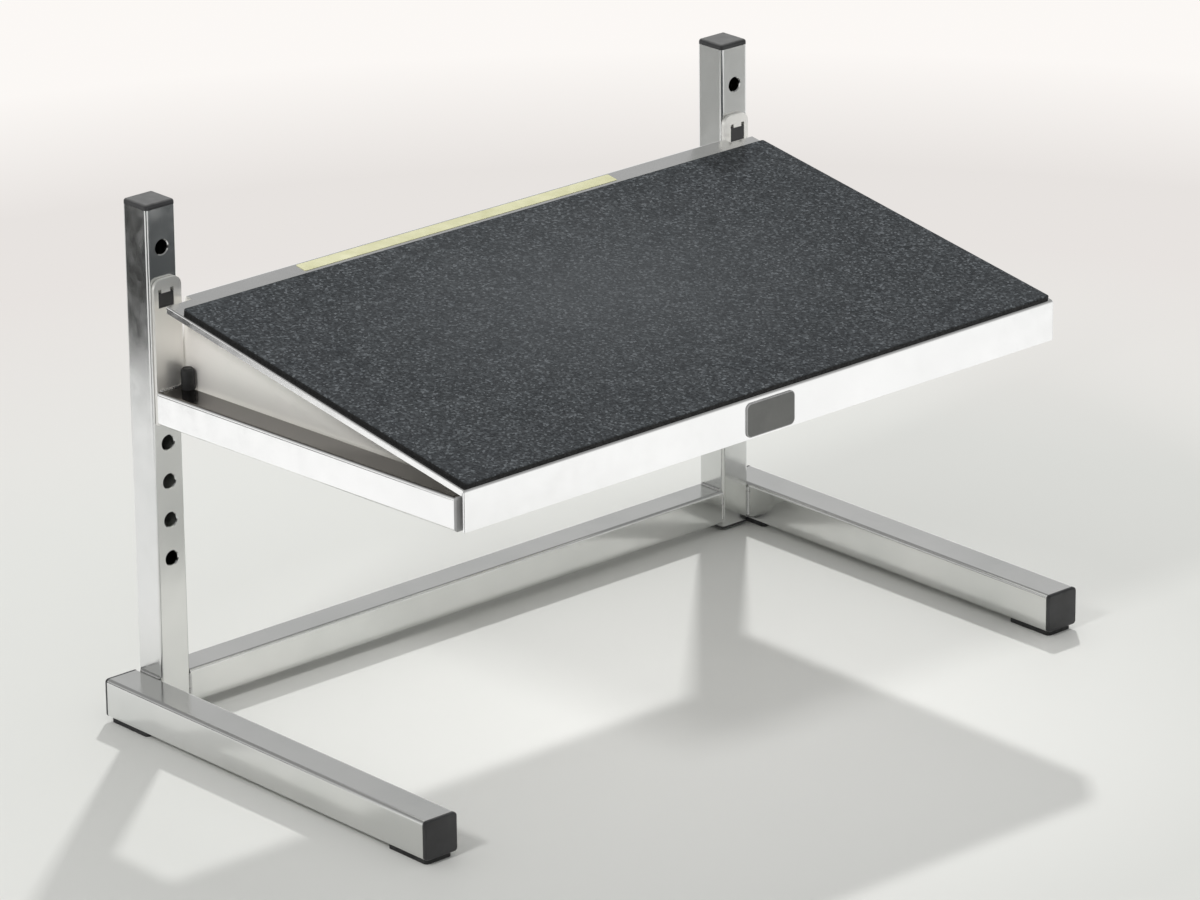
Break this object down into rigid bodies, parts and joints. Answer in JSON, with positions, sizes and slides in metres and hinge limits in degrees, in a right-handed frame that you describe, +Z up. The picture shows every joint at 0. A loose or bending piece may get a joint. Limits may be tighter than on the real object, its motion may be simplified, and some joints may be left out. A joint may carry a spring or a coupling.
{
  "type": "footrest",
  "caption": "Free-standing footrest: perforated posts on floor runners carry hook-in arms that set the height of a tilting, mat-covered metal tread.",
  "frame": {"origin": "on the floor, in the middle of the footprint's bounding box", "axes": "+X to the right as seen by someone facing the tread's low front edge, +Y to the rear where the posts stand, +Z up"},
  "size_m": [0.65, 0.3694, 0.4],
  "materials": {
    "frame_chrome": "bright chrome plate on steel, slightly soft reflections",
    "carrier_chrome": "bright chrome plate on steel, slightly soft reflections",
    "tread_chrome": "satin chrome plate on folded steel sheet",
    "cap_plastic": "moulded black, satin",
    "arm_cap_plastic": "moulded grey, satin",
    "pad_rubber": "matt black",
    "buffer_rubber": "matt black",
    "mat": "black with fine pale speckles, matt",
    "stud_steel": "zinc plated",
    "washer_steel": "zinc plated",
    "friction_plastic": "matt",
    "knob_plastic": "moulded black, matt",
    "badge_plastic": "plain mid-grey, satin",
    "strip_film": "plain yellow film"
  },
  "bodies": {
    "base": {"foot_tube_left": "frame_chrome", "foot_tube_right": "frame_chrome", "foot_cap_front_left": "cap_plastic", "foot_cap_front_right": "cap_plastic", "foot_cap_rear_left": "cap_plastic", "foot_cap_rear_right": "cap_plastic", "foot_pad_front_left": "pad_rubber", "foot_pad_front_right": "pad_rubber", "foot_pad_rear_left": "pad_rubber", "foot_pad_rear_right": "pad_rubber", "upright_left": "frame_chrome", "upright_right": "frame_chrome", "upright_plug_left": "cap_plastic", "upright_plug_right": "cap_plastic", "upright_lower_plug_left": "cap_plastic", "upright_lower_plug_right": "cap_plastic", "cross_tube": "frame_chrome"},
    "carrier": {"hook_plate_left": "carrier_chrome", "hook_plate_right": "carrier_chrome", "plate_pad_left": "cap_plastic", "plate_pad_right": "cap_plastic", "arm_left": "carrier_chrome", "arm_right": "carrier_chrome", "arm_cap_left": "arm_cap_plastic", "arm_cap_right": "arm_cap_plastic", "front_rail": "carrier_chrome", "stop_buffer_left": "buffer_rubber", "stop_buffer_right": "buffer_rubber", "hinge_stud_left": "stud_steel", "hinge_stud_right": "stud_steel", "friction_disc_left": "friction_plastic", "friction_disc_right": "friction_plastic", "clamp_washer_left": "washer_steel", "clamp_washer_right": "washer_steel"},
    "knob_left": {"clamp_knob_left": "knob_plastic"},
    "knob_right": {"clamp_knob_right": "knob_plastic"},
    "tread": {"tread_plate": "tread_chrome", "cheek_left": "tread_chrome", "cheek_right": "tread_chrome", "tread_mat": "mat", "badge_plate": "badge_plastic", "label_strip": "strip_film"}
  },
  "joints": [
    {"name": "height", "type": "slide", "parent": "base", "child": "carrier", "axis": [0, 0, 1], "range_m": [-0.15, 0.03]},
    {"name": "tilt", "type": "hinge", "parent": "carrier", "child": "tread", "pos_m": [0, -0.16328, 0.255], "axis": [1, 0, 0], "range_deg": [-9, 6]},
    {"name": "knob_left_turn", "type": "hinge", "parent": "carrier", "child": "knob_left", "pos_m": [-0.2475, -0.16328, 0.255], "axis": [1, 0, 0], "range_deg": [0, 180]},
    {"name": "knob_right_turn", "type": "hinge", "parent": "carrier", "child": "knob_right", "pos_m": [0.2475, -0.16328, 0.255], "axis": [-1, 0, 0], "range_deg": [0, 180]}
  ]
}
